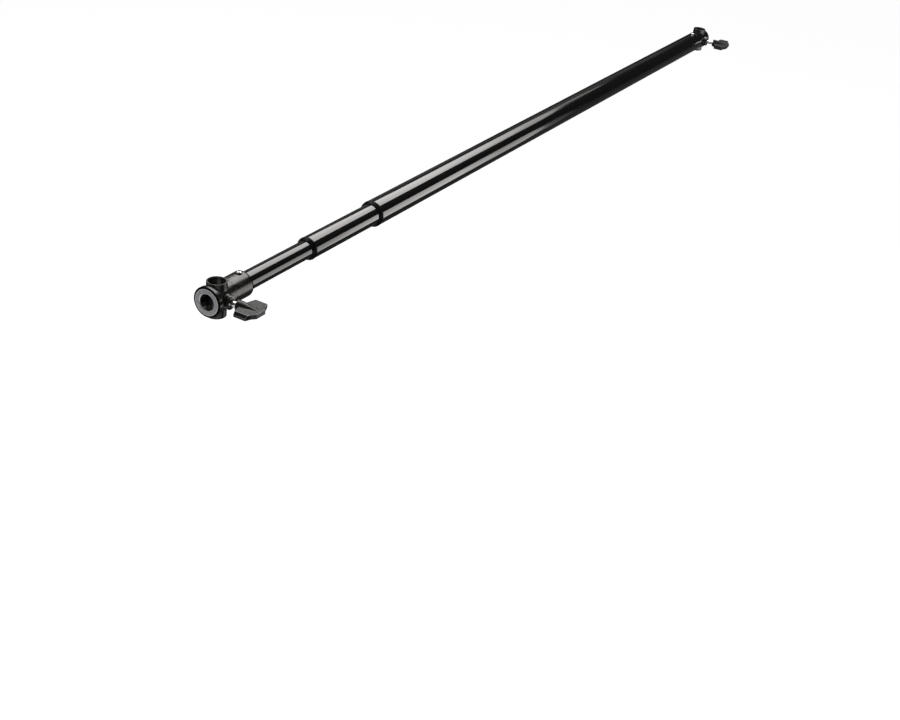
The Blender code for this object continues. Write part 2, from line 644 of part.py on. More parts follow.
def main():
    """Build the crossbar, from the outer tube in."""
    clear_scene()
    shop = Shop(new_collection("crossbar"), new_collection("cutters"))

    outer = shop.carrier("outer_section", (FAR_SOCKET_X, 0, 0))
    outer_tube = tube(shop, "outer_tube", OUTER_TUBE_OD, OUTER_MOUTH_X, OUTER_TUBE_END_X)
    far_rivet_x = FAR_SOCKET_X - RIVET_FROM_SOCKET
    far_hole = rivet_hole("outer_tube_rivet_hole", far_rivet_x, OUTER_TUBE_OD / 2)
    shop.boolean(outer_tube, far_hole, "DIFFERENCE")
    pieces = [outer_tube, socket_casting(shop, "far_socket", FAR_SOCKET_X, 1),
              collar(shop, "outer_collar", OUTER_TUBE_OD, MID_TUBE_OD, OUTER_MOUTH_X)]
    pieces += rivet_pair(shop, "far", far_rivet_x, OUTER_TUBE_OD / 2, BARREL_BORE_RADIUS)
    for piece in pieces:
        hang(piece, outer)
    wing_screw(shop, outer, "far", FAR_SOCKET_X, FAR_KNOB_GAP, FAR_KNOB_TURN)

    mid_lock = TwistLock(shop, "mid_lock", MID_TUBE_OD, OUTER_TUBE_OD / 2 - TUBE_WALL,
                         MID_STUD_DIAMETER / 2, MID_TUBE_END_X)
    mid = sliding_section(shop, outer, "mid", mid_lock)
    hang(tube(shop, "mid_tube", MID_TUBE_OD, MID_MOUTH_X, MID_TUBE_END_X), mid)
    hang(collar(shop, "mid_collar", MID_TUBE_OD, INNER_TUBE_OD, MID_MOUTH_X), mid)

    inner_lock = TwistLock(shop, "inner_lock", INNER_TUBE_OD, MID_TUBE_OD / 2 - TUBE_WALL,
                           INNER_STUD_DIAMETER / 2, INNER_TUBE_END_X)
    inner = sliding_section(shop, mid, "inner", inner_lock)
    inner_tube = tube(shop, "inner_tube", INNER_TUBE_OD, INNER_MOUTH_X, INNER_TUBE_END_X)
    near_rivet_x = NEAR_SOCKET_X + RIVET_FROM_SOCKET
    near_hole = rivet_hole("inner_tube_rivet_hole", near_rivet_x, INNER_TUBE_OD / 2)
    shop.boolean(inner_tube, near_hole, "DIFFERENCE")
    pieces = [inner_tube, socket_casting(shop, "near_socket", NEAR_SOCKET_X, -1)]
    pieces += rivet_pair(shop, "near", near_rivet_x, BARREL_RADIUS, INNER_TUBE_OD / 2 - TUBE_WALL)
    for piece in pieces:
        hang(piece, inner)
    wing_screw(shop, inner, "near", NEAR_SOCKET_X, NEAR_KNOB_GAP, NEAR_KNOB_TURN)
    shade_smooth(shop)


main()
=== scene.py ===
"""Looks of the telescopic crossbar: fine pieces, their finishes, the studio and the camera.

Metres, +Z up. The row frame's origin is where the far socket's upright bore crosses the bar's
axis. The bar runs along X with its thin end at -X, and the wing screws point to -Y.
"""

import logging
import math
from dataclasses import dataclass
from enum import Enum

import bmesh
import bpy
from mathutils import Matrix, Vector


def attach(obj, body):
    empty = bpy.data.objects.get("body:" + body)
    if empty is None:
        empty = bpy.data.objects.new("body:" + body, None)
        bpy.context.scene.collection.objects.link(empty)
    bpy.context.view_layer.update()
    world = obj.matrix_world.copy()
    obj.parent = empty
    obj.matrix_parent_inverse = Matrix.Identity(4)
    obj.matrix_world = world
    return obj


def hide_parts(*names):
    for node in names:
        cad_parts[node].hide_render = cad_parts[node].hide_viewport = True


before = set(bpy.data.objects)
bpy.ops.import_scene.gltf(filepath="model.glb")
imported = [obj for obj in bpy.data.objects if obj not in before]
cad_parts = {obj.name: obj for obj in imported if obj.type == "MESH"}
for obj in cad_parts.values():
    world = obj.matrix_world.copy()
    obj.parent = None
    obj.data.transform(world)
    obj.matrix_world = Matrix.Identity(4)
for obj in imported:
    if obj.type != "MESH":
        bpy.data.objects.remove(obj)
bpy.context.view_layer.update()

LOG = logging.getLogger("crossbar")

Point = tuple[float, float]
Corner = tuple[float, float, float]
Triple = tuple[float, float, float]
Socket = bpy.types.NodeSocket
Solid = bpy.types.Object
WHITE = (1.0, 1.0, 1.0, 1.0)

# Shared sizes
SEAT_GAP = 0.0003
OUTER_RADIUS = 0.015
MID_RADIUS = 0.0125
INNER_RADIUS = 0.010
TUBE_WALL = 0.001
FAR_SOCKET_X = 0.0
NEAR_SOCKET_X = -1.3529
OUTER_MOUTH_X = -1.0733
OUTER_TUBE_END_X = -0.0143
MID_MOUTH_X = -1.2002
MID_TUBE_END_X = -0.2082
INNER_TUBE_START_X = -1.3391
INNER_TUBE_END_X = -0.3781
RIVET_FROM_SOCKET = 0.034
RIVET_HOLE = 0.0019
SCREW_BOSS_FACE_Y = -0.0184
BARREL_RADIUS = 0.01385
BORE_RADIUS = 0.0103

# Fineness of the pieces
TUBE_SEGMENTS = 128
TURNED_SEGMENTS = 64
BORE_SEGMENTS = 96
SMALL_SEGMENTS = 40
ROUND_STEPS = 4
MOST_OF_EDGE = 0.49
SHARP_ANGLE = math.radians(38)


def turned(degrees: float, axis: str) -> Matrix:
    """Return a turn round an axis."""
    return Matrix.Rotation(math.radians(degrees), 4, axis)


def along(x: float) -> Matrix:
    """Return a shift along the bar."""
    return Matrix.Translation((x, 0, 0))


class Way(Enum):
    """The way that a turned piece's heights run in the row frame."""

    PLUS_X = turned(90, "Y")
    MINUS_X = turned(-90, "Y")
    MINUS_Y = turned(90, "X")
    PLUS_Z = Matrix.Identity(4)
    MINUS_Z = turned(180, "X")


class Slot(Enum):
    """The record's material slots that the fine pieces take."""

    TUBE = "tube_paint"
    CASTING = "casting"
    COLLAR = "collar"
    KNOB = "knob"
    STEEL = "steel"
    RIVET = "rivet"
    BRASS = "brass"


class Nodes:
    """A tree of nodes, with short ways to add what the finishes and the studio share."""

    def __init__(self, tree: bpy.types.NodeTree) -> None:
        """Take the tree that the nodes go in."""
        self.tree = tree

    def add(self, kind: str, inputs: dict[str | int, object] | None = None,
            **settings: object) -> bpy.types.Node:
        """Add a node.

        Args:
            kind: The node's type.
            inputs: Numbers, colours or outputs for its inputs, by name or number.
            settings: Its properties.

        Returns:
            The new node.
        """
        node = self.tree.nodes.new(kind)
        for key, value in settings.items():
            setattr(node, key, value)
        for key, value in (inputs or {}).items():
            self.feed(node.inputs[key], value)
        return node

    def feed(self, socket: Socket, value: object) -> None:
        """Set an input to a number or link it to another node's output.

        Args:
            socket: The input.
            value: A number, a colour or an output socket.
        """
        if isinstance(value, Socket):
            self.tree.links.new(value, socket)
        else:
            socket.default_value = value

    def remap(self, value: Socket, span: Point, to: Point = (0.0, 1.0)) -> Socket:
        """Return a value carried from one range to another, and held at its ends.

        Args:
            value: The value.
            span: Its range.
            to: The new range.

        Returns:
            The value output.
        """
        names = ("Value", "From Min", "From Max", "To Min", "To Max")
        inputs = dict(zip(names, (value, *span, *to)))
        return self.add("ShaderNodeMapRange", inputs).outputs["Result"]

    def math(self, operation: str, one: object, two: object) -> Socket:
        """Return what a calculation makes of two values.

        Args:
            operation: The calculation's kind.
            one: A number or an output.
            two: A number or an output.

        Returns:
            The value output.
        """
        node = self.add("ShaderNodeMath", {0: one, 1: two}, operation=operation)
        return node.outputs["Value"]

    def seen(self) -> Socket:
        """Add the switch that is 1 for what the eye, metal and glass see, and 0 for light.

        Returns:
            The value output.
        """
        path = self.add("ShaderNodeLightPath")
        eye = self.math("MAXIMUM", path.outputs["Is Camera Ray"], path.outputs["Is Glossy Ray"])
        return self.math("MAXIMUM", eye, path.outputs["Is Transmission Ray"])


class Graph(Nodes):
    """A material's nodes, round one Principled shader."""

    def __init__(self, name: str) -> None:
        """Start a material.

        Args:
            name: The material's name.
        """
        self.material = bpy.data.materials.new(name)
        self.material.use_nodes = True
        super().__init__(self.material.node_tree)
        self.shader = self.tree.nodes["Principled BSDF"]

    def finish(self, inputs: dict[str, object]) -> bpy.types.Material:
        """Set or link the shader's own sockets.

        Args:
            inputs: Numbers, colours or outputs for them, by name.

        Returns:
            The finished material.
        """
        for name, value in inputs.items():
            self.feed(self.shader.inputs[name], value)
        return self.material

    def position(self, stretch: Triple = (1, 1, 1)) -> Socket:
        """Return the surface's place in the row frame, stretched on each axis.

        Args:
            stretch: Factors along X, Y and Z.

        Returns:
            The vector output.
        """
        coords = self.add("ShaderNodeTexCoord")
        mapping = self.add("ShaderNodeMapping",
                           {"Scale": stretch, "Vector": coords.outputs["Object"]})
        return mapping.outputs["Vector"]

    def noise(self, place: Socket, scale: float, detail: float = 3.0,
              roughness: float = 0.55) -> Socket:
        """Return a cloudy pattern from 0 to 1.

        Args:
            place: Where to read it.
            scale: Clouds per metre.
            detail: Octaves of finer clouds.
            roughness: Strength of the finer clouds.

        Returns:
            The value output.
        """
        inputs = {"Vector": place, "Scale": scale, "Detail": detail, "Roughness": roughness}
        return self.add("ShaderNodeTexNoise", inputs).outputs["Fac"]

    def blend(self, factor: Socket, one: object, two: object) -> Socket:
        """Return a colour between two colours.

        Args:
            factor: 0 for the first colour, 1 for the second.
            one: The first colour, as three numbers or an output.
            two: The second colour, as three numbers or an output.

        Returns:
            The colour output.
        """
        first, second = [(*colour, 1.0) if isinstance(colour, tuple) else colour
                         for colour in (one, two)]
        node = self.add("ShaderNodeMix", {0: factor, 6: first, 7: second}, data_type="RGBA")
        return node.outputs[2]

    def bump(self, height: Socket, depth: float, below: Socket | None = None) -> Socket:
        """Return the surface's normal with a height pattern on it.

        Args:
            height: The pattern, from 0 to 1.
            depth: Its depth in metres.
            below: The normal of a pattern under this one.

        Returns:
            The normal output.
        """
        inputs = {"Distance": depth, "Height": height}
        if below is not None:
            inputs["Normal"] = below
        return self.add("ShaderNodeBump", inputs).outputs["Normal"]

    def edges(self, span: Point) -> Socket:
        """Return where the surface is a convex edge, from 0 to 1, for wear and for painted
        highlights.

        Args:
            span: Pointiness at which the mask starts and is full.

        Returns:
            The value output.
        """
        geometry = self.add("ShaderNodeNewGeometry")
        return self.remap(geometry.outputs["Pointiness"], span)


@dataclass(frozen=True)
class GlossPaint:
    """Glossy black coat of the tubes, with faint orange peel and lengthwise rubbing."""

    colour: Triple = (0.0045, 0.0045, 0.0050)
    dusty: Triple = (0.0075, 0.0073, 0.0070)
    roughness: float = 0.085
    rubbed: float = 0.16
    streaks: Triple = (6.0, 1400.0, 1400.0)
    cloud_scale: float = 28.0
    peel_scale: float = 700.0
    peel_depth: float = 0.000004

    def make(self) -> bpy.types.Material:
        """Make the finish.

        Returns:
            Its material.
        """
        graph = Graph("gloss_black_paint")
        streaks = graph.noise(graph.position(self.streaks), 1.0, detail=4.0)
        clouds = graph.noise(graph.position(), self.cloud_scale)
        rub = graph.math("MULTIPLY", graph.remap(streaks, (0.50, 0.72)),
                         graph.remap(clouds, (0.40, 0.66)))
        peel = graph.noise(graph.position((0.6, 1.0, 1.0)), self.peel_scale, detail=1.5)
        normal = graph.bump(peel, self.peel_depth)
        return graph.finish({
            "Base Color": graph.blend(clouds, self.colour, self.dusty),
            "Roughness": graph.remap(rub, (0.0, 1.0), (self.roughness, self.rubbed)),
            "Normal": graph.bump(streaks, self.peel_depth / 4, normal),
        })


@dataclass(frozen=True)
class CastPaint:
    """Black coat on a die casting, lighter where its edges are rubbed."""

    name: str = "semi_gloss_cast_paint"
    colour: Triple = (0.0055, 0.0053, 0.0050)
    worn: Triple = (0.050, 0.048, 0.045)
    roughness: float = 0.21
    matt: float = 0.31
    grain_depth: float = 0.000010
    shine: float = 0.38
    cloud_scale: float = 130.0
    wave_scale: float = 320.0
    grain_scale: float = 1500.0
    wear_scale: float = 500.0
    worn_edges: Point = (0.535, 0.60)

    def make(self) -> bpy.types.Material:
        """Make the finish.

        Returns:
            Its material.
        """
        graph = Graph(self.name)
        place = graph.position()
        clouds = graph.noise(place, self.cloud_scale)
        grain = graph.noise(place, self.grain_scale, detail=2.0)
        waves = graph.noise(place, self.wave_scale, detail=1.0)
        wear = graph.math("MULTIPLY", graph.edges(self.worn_edges),
                          graph.remap(graph.noise(place, self.wear_scale), (0.42, 0.62)))
        normal = graph.bump(waves, self.grain_depth * 1.5)
        return graph.finish({
            "Base Color": graph.blend(wear, self.colour, self.worn),
            "Roughness": graph.remap(clouds, (0.30, 0.70), (self.roughness, self.matt)),
            "Specular IOR Level": self.shine,
            "Normal": graph.bump(grain, self.grain_depth, normal),
        })


@dataclass(frozen=True)
class MachinedFace:
    """Bare alloy of an end face, faced on a lathe, with its rings round the bar's axis, and a
    painted highlight on its inner and outer rims.
    """

    colour: Triple = (0.300, 0.297, 0.312)
    dull: Triple = (0.140, 0.138, 0.147)
    rim_highlight: Triple = (0.46, 0.455, 0.47)
    roughness: float = 0.34
    dull_roughness: float = 0.46
    speckle_scale: float = 900.0
    ring_pitch: float = 0.00022
    ring_depth: float = 0.000006
    inner_rim: float = 0.0089
    outer_rim: float = 0.0131
    rim_blur: float = 0.0003

    def make(self) -> bpy.types.Material:
        """Make the finish.

        Returns:
            Its material.
        """
        graph = Graph("machined_end_face")
        place = graph.position()
        length = graph.add("ShaderNodeVectorMath", {0: graph.position((0.0, 1.0, 1.0))},
                           operation="LENGTH")
        radius = length.outputs["Value"]
        turns = graph.math("MULTIPLY", radius, 2 * math.pi / self.ring_pitch)
        rings = graph.math("SINE", turns, 0.0)
        speckle = graph.noise(place, self.speckle_scale, detail=5.0, roughness=0.7)
        bare = graph.blend(graph.remap(speckle, (0.40, 0.62)), self.colour, self.dull)
        # Lighter colour at the inner and outer rims: painted highlight
        inner = (self.inner_rim + self.rim_blur, self.inner_rim)
        outer = (self.outer_rim, self.outer_rim + self.rim_blur)
        rims = graph.math("ADD", graph.remap(radius, inner), graph.remap(radius, outer))
        rough = (self.roughness, self.dull_roughness)
        normal = graph.bump(rings, self.ring_depth)
        return graph.finish({
            "Base Color": graph.blend(rims, bare, self.rim_highlight),
            "Metallic": 1.0,
            "Roughness": graph.remap(speckle, (0.3, 0.7), rough),
            "Normal": graph.bump(speckle, self.ring_depth * 3, normal),
        })


@dataclass(frozen=True)
class MouldedPlastic:
    """Satin moulded plastic with a fine grain, lighter on its edges: wear from handling, and on
    the knobs a painted highlight.
    """

    name: str
    colour: Triple
    handled_and_highlight: Triple
    roughness: float
    grain_depth: float = 0.000010
    shine: float = 0.5
    cloud_scale: float = 160.0
    grain_scale: float = 2600.0
    handled_and_highlight_edges: Point = (0.505, 0.530)

    def make(self) -> bpy.types.Material:
        """Make the finish.

        Returns:
            Its material.
        """
        graph = Graph(self.name)
        place = graph.position()
        clouds = graph.noise(place, self.cloud_scale)
        grain = graph.noise(place, self.grain_scale, detail=2.0)
        # Lighter convex edges: handling wear, and on the knobs a painted highlight standing in
        # for edge reflections
        edge = graph.edges(self.handled_and_highlight_edges)
        polish_and_highlight = graph.math("MULTIPLY", edge, clouds)
        rough = (self.roughness - 0.04, self.roughness + 0.05)
        return graph.finish({
            "Base Color": graph.blend(polish_and_highlight, self.colour, self.handled_and_highlight),
            "Roughness": graph.remap(clouds, (0.3, 0.7), rough),
            "Specular IOR Level": self.shine,
            "Normal": graph.bump(grain, self.grain_depth),
        })


@dataclass(frozen=True)
class BareMetal:
    """Bare or plated metal with turning marks, and a little tarnish in clouds."""

    name: str
    colour: Triple
    tarnish: Triple
    roughness: float
    mark_depth: float = 0.000002
    cloud_scale: float = 420.0
    mark_scale: float = 3200.0

    def make(self) -> bpy.types.Material:
        """Make the finish.

        Returns:
            Its material.
        """
        graph = Graph(self.name)
        place = graph.position()
        clouds = graph.noise(place, self.cloud_scale, detail=4.0)
        marks = graph.noise(place, self.mark_scale, detail=2.0)
        dull = graph.remap(clouds, (0.45, 0.75))
        rough = (self.roughness - 0.04, self.roughness + 0.08)
        return graph.finish({
            "Base Color": graph.blend(dull, self.colour, self.tarnish),
            "Metallic": 1.0,
            "Roughness": graph.remap(clouds, (0.3, 0.7), rough),
            "Normal": graph.bump(marks, self.mark_depth),
        })


class Finishes:
    """The finishes of the crossbar, each made once."""

    def __init__(self) -> None:
        """Make each finish's material."""
        self.tube = GlossPaint().make()
        self.casting = CastPaint().make()
        # Near-black paint with almost no gloss on the casting's rims: a painted shade standing in
        # for the dark reflection there
        self.rim = CastPaint("painted_shade_rim_paint", (0.003, 0.003, 0.003), (0.012, 0.012, 0.012),
                             0.50, 0.62, shine=0.02).make()
        self.face = MachinedFace().make()
        self.collar = MouldedPlastic("satin_black_plastic", (0.0030, 0.0030, 0.0033),
                                     (0.020, 0.020, 0.021), 0.27, shine=0.08).make()
        # The knobs take two copies of one plastic: the near one with bright edges, a painted
        # highlight, and the far one with less gloss and dimmer edges, a painted shade
        self.near_knob = MouldedPlastic("near_knob_plastic_painted_highlight", (0.007, 0.0072, 0.0076),
                                        (0.300, 0.305, 0.310), 0.22, 0.000005, 0.25).make()
        self.far_knob = MouldedPlastic("far_knob_plastic_painted_shade", (0.008, 0.0082, 0.0087),
                                       (0.200, 0.203, 0.210), 0.36, shine=0.05).make()
        self.steel = BareMetal("bright_zinc_steel", (0.72, 0.72, 0.70), (0.52, 0.52, 0.50),
                               0.14).make()
        self.rivet = BareMetal("bright_alloy", (0.32, 0.32, 0.33), (0.20, 0.20, 0.21),
                               0.14).make()
        self.brass = BareMetal("turned_brass", (0.78, 0.58, 0.26), (0.50, 0.36, 0.17),
                               0.26).make()
        self.plug = BareMetal("plain_alloy", (0.62, 0.62, 0.64), (0.44, 0.44, 0.46), 0.34).make()
        self.nylon = MouldedPlastic("natural_nylon", (0.66, 0.64, 0.58), (0.72, 0.71, 0.67),
                                    0.42, 0.000012).make()


def rounded(corners: list[Corner], closed: bool) -> list[Point]:
    """Round the corners of an outline.

    Args:
        corners: Points as (x, y, rounding).
        closed: Whether the last point joins the first.

    Returns:
        The finer outline.
    """
    points = []
    count = len(corners)
    for index, (x, y, rounding) in enumerate(corners):
        corner = Vector((x, y))
        if not rounding or (not closed and index in (0, count - 1)):
            points.append((x, y))
            continue
        back = Vector(corners[index - 1][:2]) - corner
        ahead = Vector(corners[(index + 1) % count][:2]) - corner
        cut = rounding / math.tan(back.angle(ahead) / 2)
        cut = min(cut, back.length * MOST_OF_EDGE, ahead.length * MOST_OF_EDGE)
        start = corner + back.normalized() * cut
        end = corner + ahead.normalized() * cut
        for step in range(ROUND_STEPS + 1):
            t = step / ROUND_STEPS
            point = start * (1 - t) ** 2 + corner * 2 * t * (1 - t) + end * t ** 2
            points.append((point.x, point.y))
    return points


def link_mesh(name: str, shape: bmesh.types.BMesh, place: Matrix) -> Solid:
    """Make an object of a shape, with its place put in its mesh.

    Args:
        name: The object's name.
        shape: The shape, which is freed.
        place: The shape's place in the row frame.

    Returns:
        The object, linked to the scene.
    """
    bmesh.ops.recalc_face_normals(shape, faces=shape.faces)
    mesh = bpy.data.meshes.new(name)
    shape.to_mesh(mesh)
    shape.free()
    mesh.transform(place)
    obj = bpy.data.objects.new(name, mesh)
    bpy.context.scene.collection.objects.link(obj)
    return obj


def lathe(name: str, profile: list[Point], place: Matrix, segments: int = TURNED_SEGMENTS,
          ring: bool = False) -> Solid:
    """Turn a profile round its axis.

    Args:
        name: The object's name.
        profile: Points as (radius, height). A ring's is a closed loop, any other's starts and
            ends on the axis.
        place: The piece's place in the row frame.
        segments: Steps round the axis.
        ring: Whether the profile is a closed loop.

    Returns:
        The turned piece.
    """
    shape = bmesh.new()
    rows = []
    for radius, height in profile:
        count = segments if radius > 0 else 1
        angles = [2 * math.pi * step / segments for step in range(count)]
        rows.append([shape.verts.new((radius * math.cos(a), radius * math.sin(a), height))
                     for a in angles])
    pairs = list(zip(rows, rows[1:]))
    if ring:
        pairs.append((rows[-1], rows[0]))
    for one, two in pairs:
        for step in range(segments):
            after = (step + 1) % segments
            if len(one) == 1:
                shape.faces.new((one[0], two[after], two[step]))
            elif len(two) == 1:
                shape.faces.new((one[step], one[after], two[0]))
            else:
                shape.faces.new((one[step], one[after], two[after], two[step]))
    return link_mesh(name, shape, place)


def prism(name: str, outline: list[Point], low: float, high: float,
          place: Matrix) -> Solid:
    """Extrude an outline between two heights.

    Args:
        name: The object's name.
        outline: The outline in its own XY plane.
        low: The lower height.
        high: The upper height.
        place: The piece's place in the row frame.

    Returns:
        The prism.
    """
    shape = bmesh.new()
    bottom = [shape.verts.new((x, y, low)) for x, y in outline]
    top = [shape.verts.new((x, y, high)) for x, y in outline]
    shape.faces.new(bottom)
    shape.faces.new(list(reversed(top)))
    for index in range(len(outline)):
        after = (index + 1) % len(outline)
        shape.faces.new((bottom[index], bottom[after], top[after], top[index]))
    return link_mesh(name, shape, place)


def flat(name: str, width: float, depth: float, place: Matrix) -> Solid:
    """Make a flat rectangle round its own middle.

    Args:
        name: The object's name.
        width: Its size along its own X.
        depth: Its size along its own Y.
        place: Its place in the row frame.

    Returns:
        The rectangle.
    """
    shape = bmesh.new()
    x, y = width / 2, depth / 2
    shape.faces.new([shape.verts.new((*corner, 0.0))
                     for corner in ((-x, -y), (x, -y), (x, y), (-x, y))])
    return link_mesh(name, shape, place)


def drill(radius: float, reach: float, x: float) -> Solid:
    """Make the cutter of an upright hole through the bar.

    Args:
        radius: The hole's radius.
        reach: How far it goes up and down from the bar's axis.
        x: Its place along the bar.

    Returns:
        The cutter.
    """
    profile = [(0.0, reach), (radius, reach), (radius, -reach), (0.0, -reach)]
    return lathe("drill", profile, along(x), SMALL_SEGMENTS)


def apply_modifiers(obj: Solid) -> None:
    """Put a piece's modifiers into its mesh.

    Args:
        obj: The piece.
    """
    bpy.context.view_layer.update()
    evaluated = obj.evaluated_get(bpy.context.evaluated_depsgraph_get())
    mesh = bpy.data.meshes.new_from_object(evaluated)
    mesh.materials.clear()
    obj.modifiers.clear()
    obj.data = mesh


def combine(obj: Solid, others: list[Solid], operation: str) -> None:
    """Cut a piece with others, join it to them or keep what they share. The others are used up.

    Args:
        obj: The piece.
        others: The other shapes.
        operation: The Boolean's kind.
    """
    for other in others:
        modifier = obj.modifiers.new(other.name, "BOOLEAN")
        modifier.operation = operation
        modifier.solver = "MANIFOLD"
        modifier.object = other
    apply_modifiers(obj)
    for other in others:
        bpy.data.objects.remove(other, do_unlink=True)


def soften(obj: Solid, voxel: float, passes: int) -> None:
    """Give a piece an even skin, with its edges and inner corners rounded.

    Args:
        obj: The piece.
        passes: Rounds of smoothing.
    """
    remesh = obj.modifiers.new("Even skin", "REMESH")
    remesh.mode = "VOXEL"
    remesh.voxel_size = voxel * 1.0
    smooth = obj.modifiers.new("Rounding", "SMOOTH")
    smooth.factor = 0.5
    smooth.iterations = passes
    apply_modifiers(obj)


def settle(obj: Solid, body: str, node: str,
           materials: list[bpy.types.Material]) -> None:
    """Shade a piece, dress it, and put it on its body in place of its CAD node.

    Args:
        obj: The piece.
        body: The body that it rides on.
        node: The CAD node that it stands for.
        materials: Its materials, in the order of its faces' numbers.
    """
    for material in materials:
        obj.data.materials.append(material)
    obj.data.shade_smooth()
    obj.data.set_sharp_from_angle(angle=SHARP_ANGLE)
    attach(obj, body)
    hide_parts(node)
    LOG.info("%s: %d faces on %s", obj.name, len(obj.data.polygons), body)


@dataclass
class SubAssembly:
    """What is built and dressed as one, from the crossbar's finishes."""

    finishes: Finishes


@dataclass
class Tube(SubAssembly):
    """One drawn tube, with the rims of both ends rounded."""

    node: str
    body: str
    radius: float
    low: float
    high: float
    rivet_x: float | None = None
    rim: float = 0.00025

    def build(self) -> None:
        """Make the tube."""
        bore = self.radius - TUBE_WALL
        corners = [(self.radius, self.high, self.rim), (self.radius, self.low, self.rim),
                   (bore, self.low, self.rim), (bore, self.high, self.rim)]
        obj = lathe(f"{self.node}_fine", rounded(corners, True), Way.PLUS_X.value, TUBE_SEGMENTS,
                    ring=True)
        if self.rivet_x is not None:
            reach = self.radius + TUBE_WALL
            combine(obj, [drill(RIVET_HOLE, reach, self.rivet_x)], "DIFFERENCE")
        settle(obj, self.body, self.node, [self.finishes.tube])


@dataclass
class Collar(SubAssembly):
    """A moulded ring in a tube's mouth, with a bevelled lip that hugs the thinner tube."""

    node: str
    body: str
    tube_radius: float
    sliding_radius: float
    mouth_x: float
    band: float = 0.0012
    nose: float = 0.0041
    proud: float = 0.0003
    edge: float = 0.0004
    spigot: float = 0.020
    rounding: float = 0.0004

    def build(self) -> None:
        """Make the collar."""
        bore = self.sliding_radius + SEAT_GAP
        lip = self.tube_radius + self.proud
        inside = self.tube_radius - TUBE_WALL - SEAT_GAP
        band_end = SEAT_GAP + self.band
        nose_end = band_end + self.nose
        corners = [(bore, nose_end, 0.00012), (bore + self.edge, nose_end, 0.0002),
                   (lip, band_end, self.rounding), (lip, SEAT_GAP, 0.00015),
                   (inside, SEAT_GAP, 0.0001), (inside, -self.spigot, self.rounding),
                   (bore, -self.spigot, 0.0001)]
        place = along(self.mouth_x) @ Way.MINUS_X.value
        obj = lathe(f"{self.node}_fine", rounded(corners, True), place, TUBE_SEGMENTS, ring=True)
        settle(obj, self.body, self.node, [self.finishes.collar])


